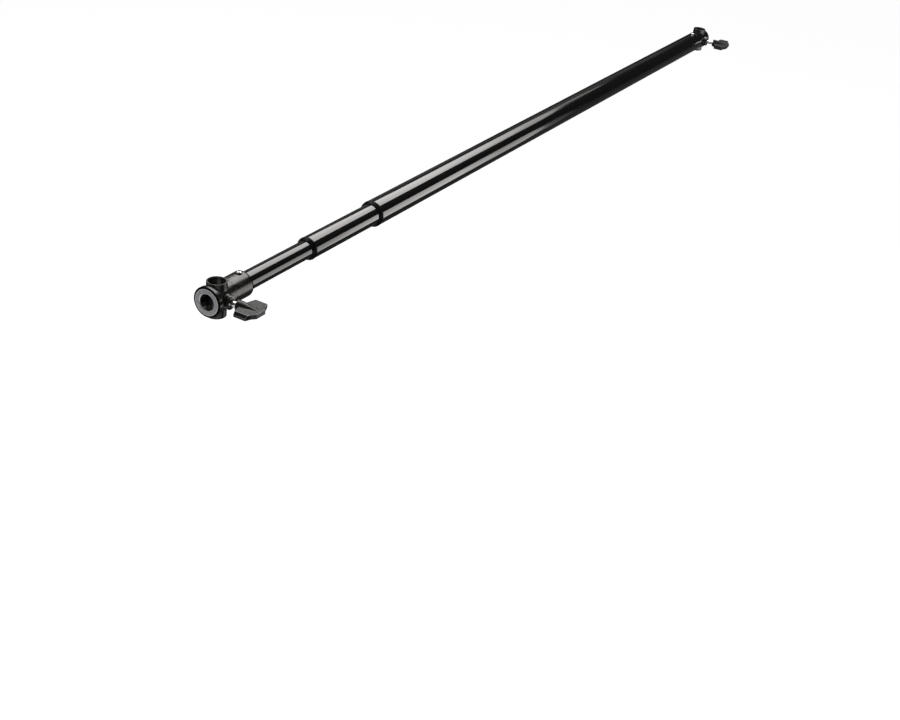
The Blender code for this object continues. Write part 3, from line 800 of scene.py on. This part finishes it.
@dataclass
class SocketCasting(SubAssembly):
    """A die-cast socket in its own frame, with its end face to +X and its long boss up."""

    face_x: float = 0.0151
    shoulder_x: float = -0.0140
    seat_x: float = -0.0135
    barrel_end_x: float = -0.0412
    barrel_radius: float = BARREL_RADIUS
    neck_radius: float = 0.0143
    head_radius: float = 0.01593
    band_x: float = 0.0099
    band_slope: float = 0.0016
    boss_radius: float = 0.0103
    long_boss: float = 0.0190
    short_boss: float = 0.0179
    screw_boss_radius: float = 0.0073
    boss_root: float = 0.0010
    end_bore: float = 0.0084
    upright_bore: float = 0.0085
    screw_bore: float = 0.0033
    mouth: float = 0.0006
    overlong: float = 0.0012
    cutter_margin: float = 0.001
    cutter_length: float = 0.01
    drill_reach: float = 0.03
    face_skin: float = 0.00002
    face_rim: tuple[Point, ...] = ((0.0, 0.0009), (0.0001, 0.0006), (0.0004, 0.00035),
                                   (0.0010, 0.00016), (0.0022, 0.0))
    barrel_rim: tuple[Point, ...] = ((0.0, 0.0022), (0.00015, 0.0006), (0.0006, 0.0))
    boss_rim: tuple[Point, ...] = ((0.0, 0.0004), (0.0004, 0.0))
    screw_boss_rim: tuple[Point, ...] = ((0.0, 0.0008), (0.0002, 0.0003), (0.0008, 0.0))
    voxel: float = 0.00035
    passes: int = 7
    quick_passes: int = 2

    def body(self) -> Solid:
        """Make the casting's outside, with the fillets of a die casting.

        Returns:
            The casting, not yet faced or bored.
        """
        neck, head = self.neck_radius, self.head_radius
        proud = self.face_x + self.overlong
        barrel_end = self.barrel_end_x - self.overlong
        corners = [(0.0, proud, 0.0), (head, proud, 0.0),
                   (head, self.band_x, 0.0006), (neck, self.band_x - self.band_slope, 0.0014),
                   (neck, self.shoulder_x, 0.0), (self.barrel_radius, self.shoulder_x, 0.0),
                   (self.barrel_radius, barrel_end, 0.0), (0.0, barrel_end, 0.0)]
        obj = lathe("casting", rounded(corners, False), Way.PLUS_X.value, TUBE_SEGMENTS)
        bosses = []
        for way, reach, radius in ((Way.PLUS_Z, self.long_boss, self.boss_radius),
                                   (Way.MINUS_Z, self.short_boss, self.boss_radius),
                                   (Way.MINUS_Y, -SCREW_BOSS_FACE_Y, self.screw_boss_radius)):
            end = reach + self.overlong
            profile = [(0.0, end), (radius, end), (radius, self.boss_root),
                       (0.0, self.boss_root)]
            bosses.append(lathe("boss", profile, way.value))
        combine(obj, bosses, "UNION")
        soften(obj, self.voxel, self.passes)
        return obj

    def end_mill(self, radius: float, end: float, rim: tuple[Point, ...], way: Way) -> Solid:
        """Return the cutter that faces a round end and bevels its rim.

        Args:
            radius: The round end's radius.
            end: Where it ends along its way.
            rim: The bevels, each point as (in from the radius, back from the end).
            way: The way that it runs.

        Returns:
            The cutter.
        """
        wide, past = radius + self.cutter_margin, end + self.cutter_length
        points = [(0.0, past), (wide, past), (wide, end - rim[0][1])]
        points += [(radius - inward, end - back) for inward, back in rim]
        points.append((0.0, end))
        return lathe("cutter", points, way.value, TUBE_SEGMENTS)

    def bore(self, radius: float, low: float, high: float, way: Way,
             through: bool = False) -> Solid:
        """Return the cutter of a bore with a chamfered mouth.

        Args:
            radius: The bore's radius.
            low: Where it starts along its way.
            high: Where its mouth is.
            way: The way that it runs.
            through: Whether its low end has a mouth too.

        Returns:
            The cutter.
        """
        past = 0.002
        wide = radius + self.mouth + past
        points = [(0.0, high + past), (wide, high + past), (radius, high - self.mouth)]
        if through:
            points += [(radius, low + self.mouth), (wide, low - past)]
        else:
            points.append((radius, low))
        points.append((0.0, points[-1][1]))
        return lathe("cutter", points, way.value, BORE_SEGMENTS)

    def cut(self, obj: Solid) -> None:
        """Face the ends of a casting and cut its bores.

        Args:
            obj: The casting.
        """
        ends = (
            (self.head_radius, self.face_x, self.face_rim, Way.PLUS_X),
            (self.barrel_radius, -self.barrel_end_x, self.barrel_rim, Way.MINUS_X),
            (self.boss_radius, self.long_boss, self.boss_rim, Way.PLUS_Z),
            (self.boss_radius, self.short_boss, self.boss_rim, Way.MINUS_Z),
            (self.screw_boss_radius, -SCREW_BOSS_FACE_Y, self.screw_boss_rim, Way.MINUS_Y),
        )
        bores = (
            (self.end_bore, 0.0, self.face_x, Way.PLUS_X),
            (self.upright_bore, -self.short_boss, self.long_boss, Way.PLUS_Z, True),
            (self.screw_bore, 0.0, -SCREW_BOSS_FACE_Y, Way.MINUS_Y),
            (BORE_RADIUS, -self.seat_x, -self.barrel_end_x, Way.MINUS_X),
        )
        cutters = [drill(RIVET_HOLE, self.drill_reach, -RIVET_FROM_SOCKET)]
        cutters += [self.end_mill(*end) for end in ends]
        cutters += [self.bore(*bore) for bore in bores]
        combine(obj, cutters, "DIFFERENCE")

    def mark_finishes(self, obj: Solid) -> None:
        """Number the faces that the lathe left bare with 1, and with 2 the rims that take the
        near-black matt paint, a painted shade.

        Args:
            obj: The casting.
        """
        face_rim = self.face_x - self.face_rim[0][1]
        barrel_rim = self.barrel_end_x + self.barrel_rim[0][1]
        for face in obj.data.polygons:
            centre = face.center
            across = math.hypot(centre.y, centre.z)
            on_face = centre.x > self.face_x - self.face_skin
            on_mouth = across < self.end_bore + self.mouth and centre.x > self.face_x - self.mouth
            if on_face or on_mouth:
                face.material_index = 1
            # The barrel's end and the head's rim by the face take the painted shade
            elif centre.x < barrel_rim or (centre.x > face_rim and across > self.boss_radius):
                face.material_index = 2
            else:
                face.material_index = 0

    def build(self) -> None:
        """Make both castings of one shape. The near one is turned over."""
        far = self.body()
        self.cut(far)
        far.name = "far_socket_fine"
        near = far.copy()
        near.data = far.data.copy()
        near.name = "near_socket_fine"
        bpy.context.scene.collection.objects.link(near)
        for obj in (far, near):
            obj.data.materials.clear()
            for finish in (self.finishes.casting, self.finishes.face, self.finishes.rim):
                obj.data.materials.append(finish)
            self.mark_finishes(obj)
        near.data.transform(along(NEAR_SOCKET_X) @ turned(180, "Y"))
        far.data.transform(along(FAR_SOCKET_X))
        settle(far, "outer_section", "far_socket", [])
        settle(near, "inner_section", "near_socket", [])


@dataclass
class Rivet(SubAssembly):
    """A blind rivet, from its domed head and sheared core to its bulged tail."""

    node: str
    body: str
    x: float
    seat_radius: float
    bore_radius: float
    way: Way
    head_radius: float = 0.0036
    head_height: float = 0.0018
    rim_height: float = 0.0004
    shoulder_share: float = 0.50
    bulge_share: float = 0.84
    bulge_rise: float = 0.6
    shank: float = 0.0016
    core_radius: float = 0.0009
    core_depth: float = 0.0006
    tail_radius: float = 0.0024
    tail_length: float = 0.0028

    def build(self) -> None:
        """Make the rivet."""
        base = self.seat_radius + SEAT_GAP
        top = base + self.head_height
        tail_top = self.bore_radius - SEAT_GAP
        tail_end = tail_top - self.tail_length
        core = self.core_radius
        shoulder = self.head_radius * self.shoulder_share
        bulge = self.head_radius * self.bulge_share
        corners = [(0.0, top - self.core_depth * 0.6, 0.0),
                   (core * 0.55, top - self.core_depth * 0.7, 0.0002),
                   (core, top - self.core_depth, 0.0001), (core, top, 0.00015),
                   (shoulder, top - 0.0001, 0.0012),
                   (bulge, base + self.head_height * self.bulge_rise, 0.0009),
                   (self.head_radius, base + self.rim_height, 0.0003),
                   (self.head_radius - 0.0001, base, 0.0001), (self.shank, base, 0.0),
                   (self.shank, tail_top, 0.0),
                   (self.tail_radius, (tail_top + tail_end) / 2, 0.0009),
                   (self.shank, tail_end, 0.0004), (0.0, tail_end, 0.0)]
        obj = lathe(f"{self.node}_fine", rounded(corners, False), along(self.x) @ self.way.value,
                    SMALL_SEGMENTS)
        settle(obj, self.body, self.node, [self.finishes.rivet])


@dataclass
class WingScrew(SubAssembly):
    """One end's clamp: the pad, the threaded rod and the moulded wing knob."""

    end: str
    socket_x: float
    hub_y: float
    turn: float
    reach: float = 0.0179
    in_knob: float = 0.012
    major: float = 0.00298
    minor: float = 0.00246
    pitch: float = 0.001
    rings_a_turn: int = 10
    flank_foot: float = 0.46
    flank_width: float = 0.36
    run_out: float = 0.0006
    shank: float = 0.0075
    shank_radius: float = 0.00298
    pad_length: float = 0.0036
    pad_radius: float = 0.0026
    dog_radius: float = 0.0014
    dog_length: float = 0.002
    dog_tip_share: float = 0.7
    dog_bevel: float = 0.0004
    hub_radius: float = 0.006
    hub_length: float = 0.0048
    hole_radius: float = 0.0033
    hole_mouth: float = 0.0040
    ridge_end: float = 0.0233
    ridge_radius: float = 0.0032
    half_thickness: float = 0.0026
    half_span: float = 0.01793
    half_blank: float = 0.004
    blank_length: float = 0.04
    voxel: float = 0.00024
    passes: int = 4

    def place(self) -> Matrix:
        """Return the hub face's place, with heights that run out along -Y."""
        return Matrix.Translation((self.socket_x, self.hub_y, 0)) @ Way.MINUS_Y.value

    def rod(self) -> None:
        """Make the rod with its rolled thread and the dog point that the pad turns on."""
        low = -self.reach + self.pad_length + SEAT_GAP
        high = self.in_knob
        count = round((high - low) / self.pitch * self.rings_a_turn)
        shape = bmesh.new()
        rows = []
        dog_end = low - self.dog_length
        for radius, height in ((self.dog_radius * self.dog_tip_share, dog_end),
                               (self.dog_radius, dog_end + self.dog_bevel),
                               (self.dog_radius, low)):
            rows.append(self.thread_row(shape, height, radius, radius))
        for index in range(count + 1):
            height = low + (high - low) * index / count
            past_thread = height + self.shank
            if past_thread > 0:
                root = crest = self.shank_radius
            else:
                full = min(1.0, (height - low) / self.run_out, -past_thread / self.run_out)
                root, crest = self.minor, self.minor + (self.major - self.minor) * full
            rows.append(self.thread_row(shape, height, root, crest))
        for one, two in zip(rows, rows[1:]):
            for step in range(SMALL_SEGMENTS):
                after = (step + 1) % SMALL_SEGMENTS
                shape.faces.new((one[step], one[after], two[after], two[step]))
        shape.faces.new(list(reversed(rows[0])))
        shape.faces.new(rows[-1])
        obj = link_mesh(f"{self.end}_clamp_screw_fine", shape, self.place())
        settle(obj, f"{self.end}_screw", f"{self.end}_clamp_screw",
               [self.finishes.steel])

    def thread_row(self, shape: bmesh.types.BMesh, height: float, root: float,
                   crest: float) -> list[bmesh.types.BMVert]:
        """Add one ring of points of the thread.

        Args:
            shape: The rod's shape.
            height: The ring's height.
            root: Radius between the thread's turns.
            crest: Radius on top of them.

        Returns:
            The ring's points.
        """
        row = []
        for step in range(SMALL_SEGMENTS):
            share = step / SMALL_SEGMENTS
            phase = (height / self.pitch - share) % 1.0
            flank = (self.flank_foot - abs(phase - 0.5)) / self.flank_width
            flank = min(1.0, max(0.0, flank))
            radius = root + (crest - root) * flank
            angle = 2 * math.pi * share
            row.append(shape.verts.new((radius * math.cos(angle), radius * math.sin(angle),
                                        height)))
        return row

    def pad(self) -> None:
        """Make the pressure pad, with the pocket that the dog point turns in."""
        pocket = self.dog_radius + SEAT_GAP
        front = -self.reach
        back = front + self.pad_length
        corners = [(0.0, back - self.dog_length, 0.0), (pocket, back - self.dog_length, 0.0),
                   (pocket, back, 0.0002), (self.pad_radius, back, 0.0003),
                   (self.pad_radius, front, 0.0006), (0.0, front, 0.0)]
        obj = lathe(f"{self.end}_pressure_pad_fine", rounded(corners, False), self.place(),
                    SMALL_SEGMENTS)
        settle(obj, f"{self.end}_pad", f"{self.end}_pressure_pad",
               [self.finishes.brass])

    def wing_outline(self) -> list[Point]:
        """Draw the wing's outline, across and out from the hub's face.

        Returns:
            The outline.
        """
        half = [(0.0052, 0.0024, 0.0), (0.0060, 0.0048, 0.0010), (0.0118, 0.0060, 0.006),
                (self.half_span, 0.0079, 0.0004), (0.0177, 0.0218, 0.0010),
                (0.0115, 0.0236, 0.0040), (0.0068, 0.0273, 0.0008)]
        other = [(-x, y, r) for x, y, r in reversed(half)]
        return rounded(half + other, True)

    def wing_section(self) -> list[Point]:
        """Draw the wing's section, across and up, the same after half a turn.

        Returns:
            The section.
        """
        half, thick = self.half_span + 0.0001, self.half_thickness
        right = [(half - 0.0006, thick), (half, 0.0018), (half, 0.0), (half - 0.0034, -thick)]
        return right + [(-x, -z) for x, z in right]

    def knob(self) -> None:
        """Make the moulded wing knob."""
        outward = turned(-90, "X")
        obj = prism("wing", self.wing_outline(), -self.half_blank, self.half_blank,
                    Matrix.Identity(4))
        section = prism("section", self.wing_section(), -self.blank_length, 0.0,
                        turned(90, "X"))
        combine(obj, [section], "INTERSECT")
        ridge = [(0.0, self.ridge_end, 0.0), (self.ridge_radius, self.ridge_end, 0.0005),
                 (self.hub_radius, self.hub_length, 0.004), (self.hub_radius, 0.0, 0.0004),
                 (0.0, 0.0, 0.0)]
        combine(obj, [lathe("hub", rounded(ridge, False), outward)], "UNION")
        soften(obj, self.voxel, self.passes)
        deep, wide = self.in_knob + SEAT_GAP, self.hole_radius
        profile = [(0.0, deep), (wide, deep), (wide, 0.0002), (self.hole_mouth, -0.0005),
                   (0.0, -0.0005)]
        combine(obj, [lathe("hole", profile, outward, SMALL_SEGMENTS)], "DIFFERENCE")
        # Drawn out along +Y, and mirrored to the side that the screws point to
        obj.data.transform(Matrix.Scale(-1, 4, (0, 1, 0)))
        obj.data.flip_normals()
        obj.data.transform(Matrix.Translation((self.socket_x, self.hub_y, 0))
                           @ turned(self.turn, "Y"))
        obj.name = f"{self.end}_wing_knob_fine"
        obj.data.materials.clear()
        # The far knob takes the duller copy of the plastic, a painted shade
        finish = self.finishes.far_knob if self.end == "far" else self.finishes.near_knob
        settle(obj, f"{self.end}_screw", f"{self.end}_wing_knob", [finish])

    def build(self) -> None:
        """Make the pad, the rod and the knob."""
        self.pad()
        self.rod()
        self.knob()


@dataclass
class TwistLock(SubAssembly):
    """A lock inside the tubes. Its CAD pieces stay and take the finishes of the real ones."""

    name: str

    def build(self) -> None:
        """Dress the lock's pieces."""
        steel = self.finishes.steel
        dress = {"plug": self.finishes.plug, "stud": steel, "clip": steel,
                 "sleeve": self.finishes.nylon, "cone": self.finishes.brass}
        for part, material in dress.items():
            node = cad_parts[f"{self.name}_{part}"]
            node.data.materials.clear()
            node.data.materials.append(material)
            LOG.info("%s dressed", node.name)


class LampUse(Enum):
    """What a lamp lights."""

    SURFACES = "surfaces"
    REFLECTIONS = "reflections"


@dataclass
class SoftBox:
    """A flat soft lamp. Its brightness is that of its face, where 1 is white."""

    name: str
    place: Triple
    facing: Triple
    width: float
    height: float
    brightness: float
    use: LampUse = LampUse.REFLECTIONS
    colour: Triple = (1.0, 0.98, 0.96)

    def build(self) -> None:
        """Make the lamp."""
        data = bpy.data.lights.new(self.name, "AREA")
        data.shape = "RECTANGLE"
        data.size = self.width
        data.size_y = self.height
        data.energy = self.brightness * math.pi * self.width * self.height
        data.color = self.colour
        lamp = bpy.data.objects.new(self.name, data)
        lamp.location = self.place
        lamp.rotation_euler = Vector(self.facing).to_track_quat("-Z", "Y").to_euler()
        lamp.visible_camera = False
        lamp.visible_diffuse = self.use is LampUse.SURFACES
        lamp.visible_glossy = self.use is LampUse.REFLECTIONS
        bpy.context.scene.collection.objects.link(lamp)
        LOG.info("%s at %s", self.name, self.place)


@dataclass
class Card:
    """A grey card that only the gloss shows, which keeps the edges of black pieces dark."""

    name: str
    place: Triple
    facing: Triple
    width: float
    height: float
    shade: float

    def build(self) -> None:
        """Make the card."""
        turn = Vector(self.facing).to_track_quat("Z", "Y").to_matrix().to_4x4()
        obj = flat(self.name, self.width, self.height, Matrix.Translation(self.place) @ turn)
        obj.data.materials.append(Graph(self.name).finish({
            "Base Color": (0.0, 0.0, 0.0, 1.0),
            "Specular IOR Level": 0.0,
            "Emission Color": WHITE,
            "Emission Strength": self.shade,
        }))
        obj.visible_camera = False
        obj.visible_diffuse = False
        obj.visible_shadow = False


@dataclass
class Studio:
    """The pale floor and surroundings, the lamps and the camera."""

    floor_z: float = -1.0
    floor_size: float = 80.0
    floor_colour: float = 0.45
    floor_white: float = 0.78
    ambient: float = 0.42
    upper_layers: tuple[Triple, ...] = (
        (-0.2, 2.96, 2.6), (-0.2, 2.42, 1.5), (-0.2, 2.08, 1.2), (-0.2, 1.78, 0.8),
        (-0.2, 1.58, 1.1))
    side_layers: tuple[Triple, ...] = (
        (-0.55, 0.97, 2.5), (-0.55, 0.60, 1.1), (-0.15, 0.45, 1.25), (0.97, 1.30, 0.28))
    layer_gap: float = 0.01
    upper_place: Point = (0.12, 2.0)
    upper_width: float = 2.04
    side_place: Point = (-0.95, -0.28)
    side_height: float = 0.86
    card_lift: float = 0.005
    white_below: float = 4.0
    dark_above: float = 10.0
    ceiling: float = 0.045
    lens: float = 52.397
    camera_place: Triple = (-2.25701, -0.69982, 0.58442)
    camera_degrees: Triple = (60.81107, -6.33333, -60.38679)

    def floor(self) -> None:
        """Make the floor, which keeps the object's shadow and looks white round it."""
        obj = flat("floor", self.floor_size, self.floor_size,
                   Matrix.Translation((0, 0, self.floor_z)))
        graph = Graph("pale_floor")
        obj.data.materials.append(graph.finish({
            "Base Color": (*(self.floor_colour,) * 3, 1.0),
            "Roughness": 1.0,
            "Specular IOR Level": 0.0,
            "Emission Color": WHITE,
            "Emission Strength": graph.math("MULTIPLY", graph.seen(), self.floor_white),
        }))

    def world(self) -> None:
        """Make the surroundings: white to the horizon, and a dark ceiling for the gloss."""
        world = bpy.data.worlds.new("studio")
        bpy.context.scene.world = world
        world.use_nodes = True
        nodes = Nodes(world.node_tree)
        light = nodes.tree.nodes["Background"]
        light.inputs["Color"].default_value = WHITE
        light.inputs["Strength"].default_value = self.ambient
        coords = nodes.add("ShaderNodeTexCoord")
        split = nodes.add("ShaderNodeSeparateXYZ", {"Vector": coords.outputs["Generated"]})
        span = (math.sin(math.radians(self.white_below)), math.sin(math.radians(self.dark_above)))
        wall = nodes.remap(split.outputs["Z"], span, (1.0, self.ceiling))
        eye = nodes.add("ShaderNodeLightPath").outputs["Is Camera Ray"]
        view = nodes.add("ShaderNodeBackground",
                         {"Color": WHITE, "Strength": nodes.math("MAXIMUM", wall, eye)})
        mix = nodes.add("ShaderNodeMixShader", {0: nodes.seen(), 1: light.outputs["Background"],
                                                2: view.outputs["Background"]})
        nodes.feed(nodes.tree.nodes["World Output"].inputs["Surface"], mix.outputs["Shader"])

    def lamps(self) -> None:
        """Make the soft lamps of the plain light, and the panels that the gloss shows."""
        down = (0.0, 0.0, -1.0)
        side = (0.0, 0.97, 0.25)
        boxes = [
            SoftBox("soft_key", (-0.7, -0.3, 2.3), (0.0, 0.1, -1.0), 4.0, 3.0, 1.1,
                    LampUse.SURFACES, (1.0, 1.0, 1.0)),
            SoftBox("upper_wing", (0.62, 1.77, 2.0), down, 1.8, 1.26, 6.0),
            SoftBox("end_panel", (-0.90, 1.00, 2.0), down, 1.2, 1.6, 2.4),
            SoftBox("upper_fade", (3.40, 0.50, 1.98), down, 0.8, 1.0, 0.8),
            SoftBox("upper_tail", (5.35, 2.80, 2.08), down, 4.1, 4.4, 0.07),
            SoftBox("upper_edge", (5.35, 3.20, 2.10), down, 4.1, 3.6, 0.07),
        ]
        y, z = self.upper_place
        for layer, (start, end, brightness) in enumerate(self.upper_layers):
            place = ((start + end) / 2, y, z + layer * self.layer_gap)
            boxes.append(SoftBox(f"upper_panel_{layer}", place, down, end - start,
                                 self.upper_width, brightness))
        y, z = self.side_place
        for layer, (start, end, brightness) in enumerate(self.side_layers):
            place = ((start + end) / 2, y - layer * self.layer_gap, z)
            boxes.append(SoftBox(f"side_panel_{layer}", place, side, end - start,
                                 self.side_height, brightness))
        for box in boxes:
            box.build()
        low, up = self.floor_z + self.card_lift, (0.0, 0.0, 1.0)
        cards = (
            Card("floor_card", (3.2, 0.0, low), up, 8.8, 11.0, 0.07),
            Card("corner_card", (-1.8, 3.5, low), up, 1.2, 4.0, 0.05),
            Card("back_card", (1.0, 5.5, 1.2), (0.0, -1.0, 0.0), 13.0, 4.4, 0.14),
            Card("end_card", (7.5, 0.0, 1.7), (-1.0, 0.0, 0.0), 11.0, 5.4, 0.02),
            Card("front_card", (1.0, -5.5, 1.2), (0.0, 1.0, 0.0), 13.0, 4.4, 0.02),
            Card("start_card", (-5.5, 0.0, 1.2), (1.0, 0.0, 0.0), 11.0, 4.4, 0.20),
        )
        for card in cards:
            card.build()

    def camera(self) -> None:
        """Make the camera at the photograph's place and angle."""
        data = bpy.data.cameras.new("camera")
        data.lens = self.lens
        data.sensor_width = 36.0
        data.clip_end = 200.0
        obj = bpy.data.objects.new("camera", data)
        obj.location = self.camera_place
        obj.rotation_euler = [math.radians(angle) for angle in self.camera_degrees]
        bpy.context.scene.collection.objects.link(obj)
        bpy.context.scene.camera = obj

    def build(self) -> None:
        """Make the studio."""
        self.camera()
        self.floor()
        self.world()
        self.lamps()
        bpy.context.scene.view_settings.view_transform = "Standard"


def main() -> None:
    """Build the crossbar's pieces, then the studio round it."""
    logging.basicConfig(level=logging.INFO, format="%(message)s")
    finishes = Finishes()
    far_rivet_x = FAR_SOCKET_X - RIVET_FROM_SOCKET
    near_rivet_x = NEAR_SOCKET_X + RIVET_FROM_SOCKET
    seats = (("far", "outer_section", far_rivet_x, OUTER_RADIUS, BORE_RADIUS),
             ("near", "inner_section", near_rivet_x, BARREL_RADIUS, INNER_RADIUS - TUBE_WALL))
    rivets = [Rivet(finishes, f"{end}_rivet_{side}", body, x, seat, bore, way)
              for end, body, x, seat, bore in seats
              for side, way in (("top", Way.PLUS_Z), ("bottom", Way.MINUS_Z))]
    pieces = [
        Tube(finishes, "outer_tube", "outer_section", OUTER_RADIUS, OUTER_MOUTH_X,
             OUTER_TUBE_END_X, far_rivet_x),
        Tube(finishes, "mid_tube", "mid_section", MID_RADIUS, MID_MOUTH_X, MID_TUBE_END_X),
        Tube(finishes, "inner_tube", "inner_section", INNER_RADIUS, INNER_TUBE_START_X,
             INNER_TUBE_END_X, near_rivet_x),
        Collar(finishes, "outer_collar", "outer_section", OUTER_RADIUS, MID_RADIUS,
               OUTER_MOUTH_X),
        Collar(finishes, "mid_collar", "mid_section", MID_RADIUS, INNER_RADIUS, MID_MOUTH_X),
        SocketCasting(finishes),
        *rivets,
        WingScrew(finishes, "far", FAR_SOCKET_X, hub_y=-0.0293, turn=-9.0, half_span=0.0176,
                  shank=0.0108),
        WingScrew(finishes, "near", NEAR_SOCKET_X, hub_y=-0.0260, turn=0.0),
        TwistLock(finishes, "mid_lock"),
        TwistLock(finishes, "inner_lock"),
    ]
    for piece in pieces:
        piece.build()
    Studio().build()


if __name__ == "__main__":
    main()
